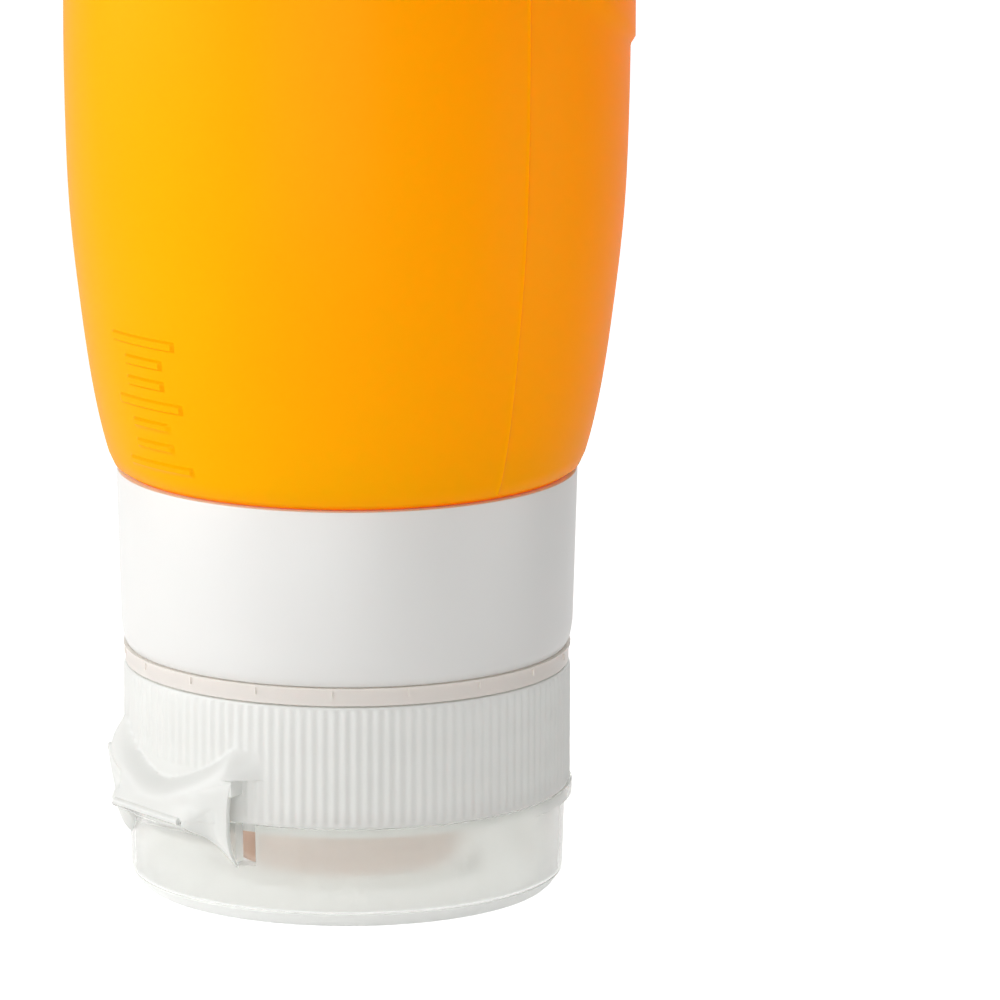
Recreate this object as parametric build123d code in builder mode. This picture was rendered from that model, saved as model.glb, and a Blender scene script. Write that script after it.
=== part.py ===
"""Travel silicone bottle, standing upside down on its flip-top cap.

The origin is the centre of the lid's standing face and +Z is up. The lid's
hinge is on the front, at -Y, and its thumb lip is at the back. All lengths
are millimetres and all angles are degrees.
"""

from build123d import *
from math import cos, pi, radians, sin
import os

os.makedirs("parts", exist_ok=True)

# Silicone: the neck bore is the size that the neck, sleeve and cap are built out from.
neck_bore_radius = 13.1
silicone_wall = 1.9
lip_thickness = 0.9
lip_overhang = 0.9
body_height = 85.0
belly_radius = 23.12
shoulder_flat_radius = 17.4
base_flat_radius = 11.7
seam_width = 0.3
seam_height = 0.12
seam_end_margin = 5.0

# Raised panel on the back of the body.
panel_half_width = 22.8
panel_half_height = 8.6
panel_height = 0.4
panel_centre_above_shoulder = 41.5

# Graduation marks in relief on the front of the body.
mark_height = 0.25
mark_width = 0.65
mark_pitch = 1.75
mark_count = 7
mark_long = 7.6
mark_short = 4.4
mark_centre_above_shoulder = 7.6
mark_centre_side = 0.4
body_turn = 3.0

# Neck sleeve.
neck_fit = 0.02
sleeve_wall = 1.1
sleeve_grip_step = 0.6
sleeve_chamfer = 0.3
flange_thickness = 1.45
flange_lip_height = 0.18
flange_lip_step = 0.14
tick_count = 18
tick_width = 0.2
tick_height = 0.75

# Screw thread between sleeve and closure.
thread_pitch = 3.0
thread_turns = 1.5
thread_depth = 0.9
thread_base_width = 1.3
thread_crest_width = 0.7
thread_clearance = 0.25
thread_bite = 0.15
thread_start_above_sleeve = 1.75

# Collar.
collar_height = 14.5
collar_wall = 1.58
collar_flare = 0.37
collar_clearance = 0.3
collar_end_gap = 0.15
collar_bottom_chamfer = 0.45
collar_top_fillet = 0.3
shoulder_gap = 0.2
sleeve_top_gap = 0.1

# Closure.
closure_wall = 1.03
skirt_height = 10.1
deck_thickness = 1.0
rib_count = 128
rib_depth = 0.22
rib_crest_share = 0.22
rib_end_margin = 0.2
skirt_top_gap = 0.15
smooth_half_angle = 30.0
smooth_height = 4.7
dome_radius = 10.3
dome_draft = 0.7
dome_gap = 1.0
dome_wall = 0.9
dome_floor = 1.0
dome_fillet = 1.1
orifice_radius = 2.0
spigot_height = 1.1
spigot_wall = 1.0
spigot_clearance = 0.25
seat_ring_height = 1.6
seat_ring_wall = 0.8

# Washer, valve and retainer.
seal_gap = 0.05
washer_thickness = 0.6
valve_fit = 0.05
valve_wall = 0.7
valve_flange = 1.5
valve_flange_thickness = 0.7
slit_width = 0.15
slit_length = 6.0
retainer_height = 0.75

# Lid.
lid_height = 8.4
lid_wall = 1.2
lid_floor = 1.3
lid_inset = 0.25
lid_draft = 0.22
lid_chamfer_height = 1.2
lid_chamfer_width = 0.9
lid_edge_fillet = 0.4
parting_gap = 0.1
plug_radius = 1.6
plug_height = 1.8
ring_clearance = 0.5
ring_wall = 0.7
ring_height = 1.7
thumb_lip_shift = 1.15
thumb_lip_inset = 0.35
thumb_lip_height = 1.05
slot_width = 1.1
slot_height = 3.4

# Hinge: the closure's visor, the lid's flare, the film and the two bands.
hinge_half_angle = 24.0
film_half_length = 4.5
film_radius = 0.3
film_clearance = 0.06
hinge_lip_thickness = 0.6
visor_reach = 1.9
visor_height = 6.7
flare_height = 3.2
band_height = 3.75
band_backing = 0.03
visor_shares = [(1.0, 0.0), (0.8, 0.27), (0.6, 0.74), (0.36, 1.0), (0.13, 0.93), (0.0, 0.82)]
flare_shares = [(0.0, 0.88), (0.31, 0.68), (0.64, 0.33), (1.0, 0.0)]

# The body's outline: height along the body, and radius as a share of the belly's.
corner_share = (0.0182, 0.85)
corner_slope_share = 0.3
belly_share = 0.43
lower_side_shares = [(0.0793, 0.902), (0.1615, 0.946), (0.2548, 0.982), (0.335, 0.995)]
upper_side_shares = [(0.6, 0.99), (0.74, 0.957), (0.86, 0.893), (0.94, 0.79)]

# One overrun for every cut.
overrun = 1.0

# Heights, from the table up.
deck_bottom = lid_height + parting_gap
deck_top = deck_bottom + deck_thickness
skirt_top = deck_bottom + skirt_height
washer_bottom = deck_top + seal_gap
lip_bottom = washer_bottom + washer_thickness + seal_gap
lip_top = lip_bottom + lip_thickness
sleeve_bottom = lip_top + neck_fit
flange_bottom = skirt_top + skirt_top_gap
flange_top = flange_bottom + flange_thickness
collar_bottom = flange_top + collar_end_gap
collar_top = collar_bottom + collar_height
shoulder_bottom = collar_top + shoulder_gap
body_top = shoulder_bottom + body_height
sleeve_top = shoulder_bottom - sleeve_top_gap

# Radii, from the neck bore out.
neck_radius = neck_bore_radius + silicone_wall
sleeve_bore = neck_radius + neck_fit
thread_root = sleeve_bore + sleeve_wall
thread_crest = thread_root + thread_depth
lip_radius = neck_radius + lip_overhang
grip_radius = thread_root + sleeve_grip_step
collar_bore = grip_radius + collar_clearance
collar_radius = collar_bore + collar_wall
closure_bore = thread_crest + thread_clearance
skirt_radius = closure_bore + closure_wall
rib_radius = skirt_radius + rib_depth
lid_radius = skirt_radius - lid_inset
lid_bore = lid_radius - lid_wall
spigot_radius = lid_bore - spigot_clearance
dome_bottom = lid_floor + dome_gap
dome_bore = dome_radius - dome_wall
seat_ring_bore = dome_bore + valve_flange + dome_wall
hinge_level = lid_height + parting_gap / 2
hinge_reach = skirt_radius + visor_reach * visor_shares[-1][1] + film_radius
band_side = (skirt_radius + visor_reach) * sin(radians(hinge_half_angle))


def front_plane(angle):
    """Upright plane through the axis; its X points out at this angle from the front."""
    out = (sin(radians(angle)), -cos(radians(angle)), 0)
    return Plane(origin=(0, 0, 0), x_dir=out, z_dir=(out[1], -out[0], 0))


def body_outline(inset):
    """Half outline of the body, drawn in by inset, or out where it is negative."""
    low = shoulder_bottom + inset
    high = body_top - inset

    def at(share):
        return (belly_radius * share[1] - inset, low + (high - low) * share[0])

    corner = at(corner_share)
    belly = at((belly_share, 1.0))
    with BuildLine() as outline:
        Line((0, low), (shoulder_flat_radius - inset, low))
        Spline(
            (shoulder_flat_radius - inset, low),
            corner,
            tangents=[(1, 0), (corner_slope_share, 1)],
        )
        Spline(
            corner,
            *[at(share) for share in lower_side_shares],
            belly,
            tangents=[(corner_slope_share, 1), (0, 1)],
        )
        Spline(
            belly,
            *[at(share) for share in upper_side_shares],
            (base_flat_radius, high),
            tangents=[(0, 1), (-1, 0)],
        )
        Line((base_flat_radius, high), (0, high))
        Line((0, high), (0, low))
    return outline.line


def body_form(inset):
    """Solid of revolution of the body's outline."""
    with BuildPart() as form:
        with BuildSketch(Plane.XZ):
            make_face(body_outline(inset).edges())
        revolve(axis=Axis.Z)
    return form.part


def ridge(radius, start, depth, bite):
    """Helical thread ridge, rooted a bite below its wall; a negative depth points inwards."""
    flank = (thread_base_width - thread_crest_width) / 2 / thread_depth
    half_crest = thread_crest_width / 2
    half_root = thread_base_width / 2 + flank * bite
    root = -bite if depth > 0 else bite
    with BuildPart() as thread:
        with BuildLine() as path:
            Helix(thread_pitch, thread_pitch * thread_turns, radius, center=(0, 0, start))
        with BuildSketch(Plane(origin=path.line @ 0, x_dir=(1, 0, 0), z_dir=path.line % 0)):
            Polygon(
                (root, -half_root),
                (depth, -half_crest),
                (depth, half_crest),
                (root, half_root),
                align=None,
            )
        sweep(is_frenet=True)
    return thread.part


def hinge_sector(shares, reach, base, height, radius, half_angle):
    """Sector of the visor or flare; height is negative where it hangs below its base."""
    points = [(radius + reach * out, base + height * up) for up, out in shares]
    first, last = points[0], points[-1]
    core = radius - closure_wall / 2
    with BuildPart() as sector:
        with BuildSketch(front_plane(-half_angle)):
            with BuildLine():
                Spline(*points)
                Polyline(last, (core, last[1]), (core, first[1]), first)
            make_face()
        revolve(axis=Axis.Z, revolution_arc=2 * half_angle)
    return sector.part


def hinge_lip(base, thickness):
    """Straight lip that carries the film, from the wall out to the hinge axis."""
    root = lid_radius * cos(radians(hinge_half_angle)) - lid_wall / 2
    with BuildPart() as lip:
        with BuildSketch(Plane.XY.offset(base)):
            with Locations((0, -hinge_reach)):
                Rectangle(
                    2 * film_half_length, hinge_reach - root, align=(Align.CENTER, Align.MIN)
                )
        extrude(amount=thickness)
    return lip.part


def band_prism(side, grow):
    """Triangular prism that cuts a band out of the hinge, on one side of the middle."""
    reach = band_side - film_half_length + grow
    rise = band_height * reach / (band_side - film_half_length)
    tip = side * film_half_length
    end = side * (film_half_length + reach)
    low = hinge_level - rise
    high = hinge_level + rise
    with BuildPart() as prism:
        with BuildSketch(Plane.XZ.offset(hinge_reach + overrun)):
            Polygon((tip, hinge_level), (end, high), (end, low), align=None)
        extrude(amount=-(hinge_reach + overrun - lid_bore * cos(radians(hinge_half_angle))))
    return prism.part


visor = hinge_sector(
    visor_shares, visor_reach, deck_bottom, visor_height, skirt_radius, hinge_half_angle
)
flare = hinge_sector(
    flare_shares, visor_reach, lid_height, -flare_height, lid_radius, hinge_half_angle
)

# Body: one silicone moulding with its neck and the lip that folds over the sleeve's end.
front_out = (sin(radians(body_turn)), -cos(radians(body_turn)), 0)
side_out = (cos(radians(body_turn)), sin(radians(body_turn)), 0)
front = Plane(origin=(0, 0, 0), x_dir=side_out, z_dir=front_out)

with BuildPart() as marks:
    with BuildSketch(front):
        middle = shoulder_bottom + mark_centre_above_shoulder
        for index in range(mark_count):
            length = mark_long if index % 3 == 0 else mark_short
            level = middle + mark_pitch * (index - (mark_count - 1) / 2)
            with Locations((mark_centre_side, level)):
                Rectangle(length, mark_width)
    extrude(amount=belly_radius + overrun)
    add(body_form(-mark_height), mode=Mode.INTERSECT)

with BuildPart() as panel:
    with BuildSketch(front):
        with Locations((0, shoulder_bottom + panel_centre_above_shoulder)):
            Ellipse(panel_half_width, panel_half_height)
    extrude(amount=-(belly_radius + overrun))
    add(body_form(-panel_height), mode=Mode.INTERSECT)

with BuildPart() as seams:
    seam_reach = belly_radius + overrun
    seam_rise = body_height - seam_end_margin
    with BuildSketch(Plane.XY.offset(shoulder_bottom)):
        Rectangle(2 * seam_reach, seam_width, rotation=body_turn)
    extrude(amount=seam_rise)
    add(body_form(-seam_height), mode=Mode.INTERSECT)

with BuildPart() as bottle_body:
    add(body_form(0))
    add(marks.part)
    add(panel.part)
    add(seams.part)
    with BuildSketch(Plane.XY.offset(lip_bottom)):
        Circle(neck_radius)
    extrude(amount=shoulder_bottom + silicone_wall - lip_bottom)
    with BuildSketch(Plane.XY.offset(lip_bottom)):
        Circle(lip_radius)
    extrude(amount=lip_thickness)
    add(body_form(silicone_wall), mode=Mode.SUBTRACT)
    with BuildSketch(Plane.XY.offset(lip_bottom - overrun)):
        Circle(neck_bore_radius)
    extrude(amount=shoulder_bottom + 2 * silicone_wall - lip_bottom + overrun, mode=Mode.SUBTRACT)

# Neck sleeve: rigid tube with the outside thread and the ribbed stop flange.
with BuildPart() as neck_sleeve:
    with BuildSketch(Plane.XY.offset(sleeve_bottom)):
        Circle(thread_root)
    extrude(amount=flange_bottom - sleeve_bottom)
    chamfer(neck_sleeve.edges().sort_by(Axis.Z)[0], sleeve_chamfer)
    with BuildSketch(Plane.XY.offset(flange_bottom)):
        Circle(skirt_radius)
    extrude(amount=flange_thickness)
    with BuildSketch(Plane.XY.offset(flange_top - flange_lip_height)):
        Circle(skirt_radius + flange_lip_step)
    extrude(amount=flange_lip_height)
    with BuildSketch(Plane.XY.offset(flange_top)):
        Circle(grip_radius)
    extrude(amount=sleeve_top - flange_top)
    chamfer(neck_sleeve.edges().sort_by(Axis.Z)[-1], sleeve_chamfer)
    with BuildSketch(Plane.XY.offset(flange_top - tick_height)):
        with PolarLocations(skirt_radius, tick_count):
            Rectangle(2 * flange_lip_step, tick_width)
    extrude(amount=tick_height)
    add(ridge(thread_root, sleeve_bottom + thread_start_above_sleeve, thread_depth, thread_bite))
    with BuildSketch(Plane.XY.offset(sleeve_bottom - overrun)):
        Circle(sleeve_bore)
    extrude(amount=sleeve_top - sleeve_bottom + 2 * overrun, mode=Mode.SUBTRACT)

# Collar: slightly flared ring that turns on the sleeve above the stop flange.
with BuildPart() as collar:
    with BuildSketch(Plane.XZ):
        Polygon(
            (collar_bore, collar_bottom),
            (collar_radius, collar_bottom),
            (collar_radius + collar_flare, collar_top),
            (collar_bore, collar_top),
            align=None,
        )
    revolve(axis=Axis.Z)
    bottom_edges = collar.edges().group_by(Axis.Z)[0]
    chamfer(bottom_edges.sort_by(SortBy.RADIUS)[-1], collar_bottom_chamfer)
    top_edges = collar.edges().group_by(Axis.Z)[-1]
    fillet(top_edges, collar_top_fillet)

# Sealing washer between the deck and the silicone lip.
with BuildPart() as sealing_washer:
    with BuildSketch(Plane.XY.offset(washer_bottom)):
        Circle(lip_radius)
        Circle(neck_bore_radius, mode=Mode.SUBTRACT)
    extrude(amount=washer_thickness)

# Closure: ribbed skirt with the inside thread, deck, dome, spigot and hinge visor.
with BuildPart() as ribs:
    rib_step = 360 / rib_count
    outline_points = []
    for index in range(rib_count):
        crest = rib_step * index
        for angle, radius in (
            (crest - rib_step * rib_crest_share / 2, rib_radius),
            (crest + rib_step * rib_crest_share / 2, rib_radius),
            (crest + rib_step / 2, skirt_radius),
        ):
            outline_points.append((radius * cos(radians(angle)), radius * sin(radians(angle))))
    with BuildSketch(Plane.XY.offset(deck_bottom + rib_end_margin)):
        Polygon(*outline_points, align=None)
    extrude(amount=skirt_height - 2 * rib_end_margin)
    with BuildSketch(front_plane(-smooth_half_angle)):
        with Locations((skirt_radius, deck_bottom)):
            Rectangle(rib_depth + overrun, smooth_height, align=(Align.MIN, Align.MIN))
    revolve(axis=Axis.Z, revolution_arc=2 * smooth_half_angle, mode=Mode.SUBTRACT)

with BuildPart() as closure:
    with BuildSketch(Plane.XY.offset(deck_bottom)):
        Circle(skirt_radius)
    extrude(amount=skirt_height)
    add(ribs.part)
    add(visor)
    for side in (-1, 1):
        add(band_prism(side, overrun), mode=Mode.SUBTRACT)
    with BuildSketch(Plane.XY.offset(deck_bottom)):
        Circle(skirt_radius)
    extrude(amount=skirt_height)
    add(hinge_lip(deck_bottom, hinge_lip_thickness))
    with BuildSketch(Plane.XY.offset(deck_bottom - spigot_height)):
        Circle(spigot_radius)
        Circle(spigot_radius - spigot_wall, mode=Mode.SUBTRACT)
    extrude(amount=spigot_height)
    with BuildSketch(Plane.XY.offset(deck_top)):
        Circle(closure_bore)
        Circle(seat_ring_bore + seat_ring_wall, mode=Mode.SUBTRACT)
    extrude(amount=skirt_height, mode=Mode.SUBTRACT)
    with BuildSketch(Plane.XY.offset(deck_top + seat_ring_height)):
        Circle(closure_bore)
    extrude(amount=skirt_height, mode=Mode.SUBTRACT)
    with BuildSketch(Plane.XY.offset(deck_top)):
        Circle(seat_ring_bore)
    extrude(amount=skirt_height, mode=Mode.SUBTRACT)
    with BuildSketch(Plane.XZ):
        Polygon(
            (0, dome_bottom),
            (dome_radius - dome_draft, dome_bottom),
            (dome_radius, deck_bottom),
            (dome_radius, deck_top),
            (0, deck_top),
            align=None,
        )
    revolve(axis=Axis.Z)
    fillet(closure.edges().filter_by(GeomType.CIRCLE).group_by(Axis.Z)[0], dome_fillet)
    with BuildSketch(Plane.XZ):
        Polygon(
            (0, dome_bottom + dome_floor),
            (dome_bore - dome_draft, dome_bottom + dome_floor),
            (dome_bore, deck_bottom),
            (dome_bore, deck_top + overrun),
            (0, deck_top + overrun),
            align=None,
        )
    revolve(axis=Axis.Z, mode=Mode.SUBTRACT)
    with BuildSketch(Plane.XY.offset(dome_bottom - overrun)):
        Circle(orifice_radius)
    extrude(amount=dome_floor + 2 * overrun, mode=Mode.SUBTRACT)
    inner_start = sleeve_bottom + thread_start_above_sleeve - thread_pitch / 2
    add(ridge(closure_bore, inner_start, -thread_depth, thread_bite))
    with BuildSketch(Plane.YZ.offset(-film_half_length)):
        with Locations((-hinge_reach, hinge_level)):
            Circle(film_radius)
    extrude(amount=2 * film_half_length, mode=Mode.SUBTRACT)

# Hinge film: the thin bead on the axis that the lid turns about.
with BuildPart() as hinge_film:
    with BuildSketch(Plane.YZ.offset(-film_half_length)):
        with Locations((-hinge_reach, hinge_level)):
            Circle(film_radius)
    extrude(amount=2 * film_half_length)

# Hinge bands: each is parted at the hinge level, half on the closure and half on the lid.
with BuildPart() as hinge_bands_upper:
    for side in (-1, 1):
        add(band_prism(side, 0))
    add(visor, mode=Mode.INTERSECT)
    with BuildSketch(Plane.XY.offset(lid_height - overrun)):
        Circle(rib_radius + band_backing)
    extrude(amount=skirt_height, mode=Mode.SUBTRACT)

with BuildPart() as hinge_bands_lower:
    for side in (-1, 1):
        add(band_prism(side, 0))
    add(flare, mode=Mode.INTERSECT)
    with BuildSketch(Plane.XY):
        Circle(lid_radius + band_backing)
    extrude(amount=lid_height + overrun, mode=Mode.SUBTRACT)

# Lid: shallow cup with a plug for the orifice, a ring round the dome and a thumb lip.
with BuildPart() as lid:
    with BuildSketch(Plane.XZ):
        Polygon(
            (0, 0),
            (lid_radius - lid_draft - lid_chamfer_width, 0),
            (lid_radius - lid_draft, lid_chamfer_height),
            (lid_radius, lid_height),
            (0, lid_height),
            align=None,
        )
    revolve(axis=Axis.Z)
    fillet(lid.edges().group_by(Axis.Z)[0], lid_edge_fillet)
    add(flare)
    for side in (-1, 1):
        add(band_prism(side, overrun), mode=Mode.SUBTRACT)
    with BuildSketch(Plane.XZ):
        Polygon(
            (0, lid_chamfer_height),
            (lid_radius - lid_draft, lid_chamfer_height),
            (lid_radius, lid_height),
            (0, lid_height),
            align=None,
        )
    revolve(axis=Axis.Z)
    add(hinge_lip(lid_height - hinge_lip_thickness, hinge_lip_thickness))
    with BuildSketch(Plane.XY.offset(lid_height - thumb_lip_height)):
        with Locations((0, thumb_lip_shift)):
            Circle(lid_radius - thumb_lip_inset)
    extrude(amount=thumb_lip_height)
    with BuildSketch(Plane.XZ):
        Polygon(
            (0, lid_floor),
            (lid_bore - lid_draft, lid_floor),
            (lid_bore, lid_height + overrun),
            (0, lid_height + overrun),
            align=None,
        )
    revolve(axis=Axis.Z, mode=Mode.SUBTRACT)
    with BuildSketch(Plane.XY.offset(lid_floor)):
        Circle(dome_radius + ring_clearance + ring_wall)
        Circle(dome_radius + ring_clearance, mode=Mode.SUBTRACT)
    extrude(amount=ring_height)
    with BuildSketch(Plane.XY.offset(lid_floor)):
        Circle(plug_radius)
    extrude(amount=plug_height)
    with BuildSketch(Plane.XY.offset(lid_height - slot_height)):
        slot_angle = hinge_half_angle + slot_width * 180 / pi / lid_radius / 2
        for side in (-1, 1):
            with PolarLocations(lid_radius - lid_wall / 2, 1, start_angle=side * slot_angle - 90):
                Rectangle(lid_wall + overrun, slot_width)
    extrude(amount=slot_height + overrun, mode=Mode.SUBTRACT)
    with BuildSketch(Plane.YZ.offset(-film_half_length - overrun)):
        with Locations((-hinge_reach, hinge_level)):
            Circle(film_radius + film_clearance)
    extrude(amount=2 * film_half_length + 2 * overrun, mode=Mode.SUBTRACT)

# No-drip valve: silicone cup with a crossed slit, seated in the dome.
with BuildPart() as no_drip_valve:
    valve_bottom = dome_bottom + dome_floor + valve_fit
    cup_radius = dome_bore - valve_fit
    flange_level = deck_top + valve_fit
    with BuildSketch(Plane.XZ):
        Polygon(
            (0, valve_bottom),
            (cup_radius - dome_draft, valve_bottom),
            (cup_radius, deck_bottom),
            (cup_radius, flange_level),
            (dome_bore + valve_flange, flange_level),
            (dome_bore + valve_flange, flange_level + valve_flange_thickness),
            (cup_radius - valve_wall, flange_level + valve_flange_thickness),
            (cup_radius - valve_wall, deck_bottom),
            (cup_radius - dome_draft - valve_wall, valve_bottom + valve_wall),
            (0, valve_bottom + valve_wall),
            align=None,
        )
    revolve(axis=Axis.Z)
    with BuildSketch(Plane.XY.offset(valve_bottom - overrun)):
        Rectangle(slit_length, slit_width)
        Rectangle(slit_width, slit_length)
    extrude(amount=valve_wall + 2 * overrun, mode=Mode.SUBTRACT)

# Valve retainer: ring pressed into the seat ring over the valve's flange.
with BuildPart() as valve_retainer:
    retainer_bottom = flange_level + valve_flange_thickness + valve_fit
    with BuildSketch(Plane.XY.offset(retainer_bottom)):
        Circle(seat_ring_bore - valve_fit)
        Circle(cup_radius - valve_wall, mode=Mode.SUBTRACT)
    extrude(amount=retainer_height)

named_parts = {
    "bottle_body": bottle_body,
    "neck_sleeve": neck_sleeve,
    "collar": collar,
    "sealing_washer": sealing_washer,
    "closure": closure,
    "lid": lid,
    "hinge_film": hinge_film,
    "hinge_bands_upper": hinge_bands_upper,
    "hinge_bands_lower": hinge_bands_lower,
    "no_drip_valve": no_drip_valve,
    "valve_retainer": valve_retainer,
}
for name, builder in named_parts.items():
    builder.part.label = name
    export_step(builder.part, f"parts/{name}.step")

capacity = body_form(silicone_wall).volume / 1000
print(f"capacity of the body without its neck: {capacity:.1f} ml")
print(f"body top at {body_top:.2f}, hinge at y {-hinge_reach:.2f}, z {hinge_level:.2f}")
print(f"thread lifts {thread_pitch * thread_turns:.2f} in {thread_turns} turns")
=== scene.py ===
"""Travel silicone bottle standing on its flip-top cap, in metres, in the part's own frame."""

import math

import bmesh
import bpy
import numpy as np
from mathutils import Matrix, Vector


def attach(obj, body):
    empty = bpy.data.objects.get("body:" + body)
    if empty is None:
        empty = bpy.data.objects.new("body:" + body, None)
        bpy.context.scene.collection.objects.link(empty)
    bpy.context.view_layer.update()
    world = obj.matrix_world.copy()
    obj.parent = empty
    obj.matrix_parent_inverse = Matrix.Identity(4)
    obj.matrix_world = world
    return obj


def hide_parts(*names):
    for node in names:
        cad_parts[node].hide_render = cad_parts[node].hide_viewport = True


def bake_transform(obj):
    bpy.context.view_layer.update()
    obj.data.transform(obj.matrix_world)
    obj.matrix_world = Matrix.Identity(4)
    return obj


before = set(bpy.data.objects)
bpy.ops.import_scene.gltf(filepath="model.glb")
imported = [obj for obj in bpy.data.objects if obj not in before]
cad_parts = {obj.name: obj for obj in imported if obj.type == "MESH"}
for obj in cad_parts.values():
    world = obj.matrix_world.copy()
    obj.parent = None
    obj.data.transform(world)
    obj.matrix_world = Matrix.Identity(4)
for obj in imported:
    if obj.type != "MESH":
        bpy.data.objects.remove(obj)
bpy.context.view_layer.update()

MM = 0.001

# The camera stands off to the right of the hinge and looks slightly down, through
# a long lens. The picture is cut above the belly, with the bottle left of centre.
VIEW_AZIMUTH = math.radians(54)
VIEW_ELEVATION = math.radians(12)
VIEW_DISTANCE = 800 * MM
AIM_HEIGHT = 31.9 * MM
SCALE_PX_PER_MM = 12.15
PICTURE_PX = 1000
SENSOR = 36.0
AXIS_PX = 347.0

away = Vector((
    math.sin(VIEW_AZIMUTH) * math.cos(VIEW_ELEVATION),
    -math.cos(VIEW_AZIMUTH) * math.cos(VIEW_ELEVATION),
    math.sin(VIEW_ELEVATION),
))
camera_data = bpy.data.cameras.new("camera")
camera = bpy.data.objects.new("camera", camera_data)
bpy.context.scene.collection.objects.link(camera)
camera.location = Vector((0, 0, AIM_HEIGHT)) + away * VIEW_DISTANCE
camera.rotation_euler = away.to_track_quat("Z", "Y").to_euler()
camera_data.sensor_width = SENSOR
camera_data.lens = SCALE_PX_PER_MM / MM * VIEW_DISTANCE * SENSOR / PICTURE_PX
camera_data.shift_x = (PICTURE_PX / 2 - AXIS_PX) / PICTURE_PX
camera_data.clip_start = 10 * MM
bpy.context.scene.camera = camera
bpy.context.scene.view_settings.view_transform = "Standard"


# The studio: a broad upright light panel on the left, a weaker one in front, a small one
# low on the right, an even pale room, and a white floor that keeps the shadow.
KEY_POWER = 0.45
FRONT_POWER = 0.27
SIDE_POWER = 0.03
ROOM_LIGHT = 0.32
FLOOR_SIZE = 3.0
FLOOR_LIFT = 0.8


def linear(code):
    """sRGB hex value to a linear colour with alpha."""
    parts = [int(code[i:i + 2], 16) / 255 for i in (1, 3, 5)]
    return [p / 12.92 if p <= 0.04045 else ((p + 0.055) / 1.055) ** 2.4 for p in parts] + [1.0]


def node(tree, kind, settings=None, **links):
    """Adds a node with its settings and input values; an input may be another node's socket."""
    made = tree.nodes.new(kind)
    for name, value in (settings or {}).items():
        setattr(made, name, value)
    for name, value in links.items():
        key = int(name[1:]) if name[1:].isdigit() else name.replace("_", " ")
        socket = made.inputs[key]
        if isinstance(value, bpy.types.NodeSocket):
            tree.links.new(value, socket)
        else:
            socket.default_value = value
    return made


def light_panel(name, azimuth, distance, level, width, height, power):
    """Upright area lamp that faces the bottle's axis at this level."""
    data = bpy.data.lights.new(name, "AREA")
    data.shape = "RECTANGLE"
    data.size = width * MM
    data.size_y = height * MM
    data.energy = power
    lamp = bpy.data.objects.new(name, data)
    bpy.context.scene.collection.objects.link(lamp)
    out = Vector((math.sin(azimuth), -math.cos(azimuth), 0))
    lamp.location = out * distance * MM + Vector((0, 0, level * MM))
    lamp.rotation_euler = out.to_track_quat("Z", "Y").to_euler()


def background_share(tree):
    """1 for the rays that show the background, camera, transmission and glossy, else 0."""
    rays = node(tree, "ShaderNodeLightPath")
    seen = rays.outputs["Is Camera Ray"]
    for kind in ("Is Transmission Ray", "Is Glossy Ray"):
        seen = node(tree, "ShaderNodeMath", {"operation": "MAXIMUM"},
                    _0=seen, _1=rays.outputs[kind]).outputs[0]
    return seen


light_panel("key_panel", VIEW_AZIMUTH - math.radians(76), distance=235, level=105,
            width=300, height=136, power=KEY_POWER)
light_panel("front_panel", VIEW_AZIMUTH - math.radians(12), distance=300, level=55,
            width=250, height=110, power=FRONT_POWER)
light_panel("side_panel", VIEW_AZIMUTH + math.radians(75), distance=150, level=30,
            width=100, height=60, power=SIDE_POWER)

world = bpy.data.worlds.new("room")
bpy.context.scene.world = world
world.use_nodes = True
room = world.node_tree
room.nodes.clear()
level = node(room, "ShaderNodeMapRange", None,
             Value=background_share(room), To_Min=ROOM_LIGHT, To_Max=1.0)
sky = node(room, "ShaderNodeBackground", None, Color=(1, 1, 1, 1), Strength=level.outputs[0])
node(room, "ShaderNodeOutputWorld", None, Surface=sky.outputs[0])

floor_mesh = bpy.data.meshes.new("floor")
half = FLOOR_SIZE / 2
floor_mesh.from_pydata(
    [(-half, -half, 0), (half, -half, 0), (half, half, 0), (-half, half, 0)], [], [(0, 1, 2, 3)]
)
floor = bpy.data.objects.new("floor", floor_mesh)
bpy.context.scene.collection.objects.link(floor)
paper = bpy.data.materials.new("white_paper_floor")
paper.use_nodes = True
tree = paper.node_tree
tree.nodes.clear()
lift = node(tree, "ShaderNodeMath", {"operation": "MULTIPLY"},
            _0=background_share(tree), _1=FLOOR_LIFT)
glow = node(tree, "ShaderNodeEmission", None, Color=(1, 1, 1, 1), Strength=lift.outputs[0])
matte = node(tree, "ShaderNodeBsdfDiffuse", None, Color=linear("#F2F2F2"))
both = node(tree, "ShaderNodeAddShader", None, _0=matte.outputs[0], _1=glow.outputs[0])
node(tree, "ShaderNodeOutputMaterial", None, Surface=both.outputs[0])
floor_mesh.materials.append(paper)


# The body is one moulding of translucent orange silicone with a soft satin skin. The
# mould leaves a fine seam on both sides, a graduated scale in relief low on the front
# and a broad raised panel on the back. Its neck ends in a lip that folds over the sleeve.
BODY_WALL = 1.9
BELLY_RADIUS = 23.12
BODY_BOTTOM = 34.97
BODY_TOP = 120.05
SHOULDER_FLAT = 18.4
BASE_FLAT = 11.7
CORNER = (0.0182, 0.85)
LOWER_SIDE = [(0.0793, 0.902), (0.1615, 0.946), (0.2548, 0.982), (0.335, 0.995), (0.43, 1.0)]
UPPER_SIDE = [(0.6, 0.99), (0.74, 0.957), (0.86, 0.893), (0.94, 0.79)]
NECK_RADIUS = 15.0
NECK_BORE = 13.1
LIP_RADIUS = 15.9
LIP_BOTTOM = 10.2
LIP_TOP = 11.1
LIP_EDGE = 0.1
NECK_MIDDLE = 24.0
BODY_TURN = math.radians(3)
SEAM_HEIGHT = 0.12
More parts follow.
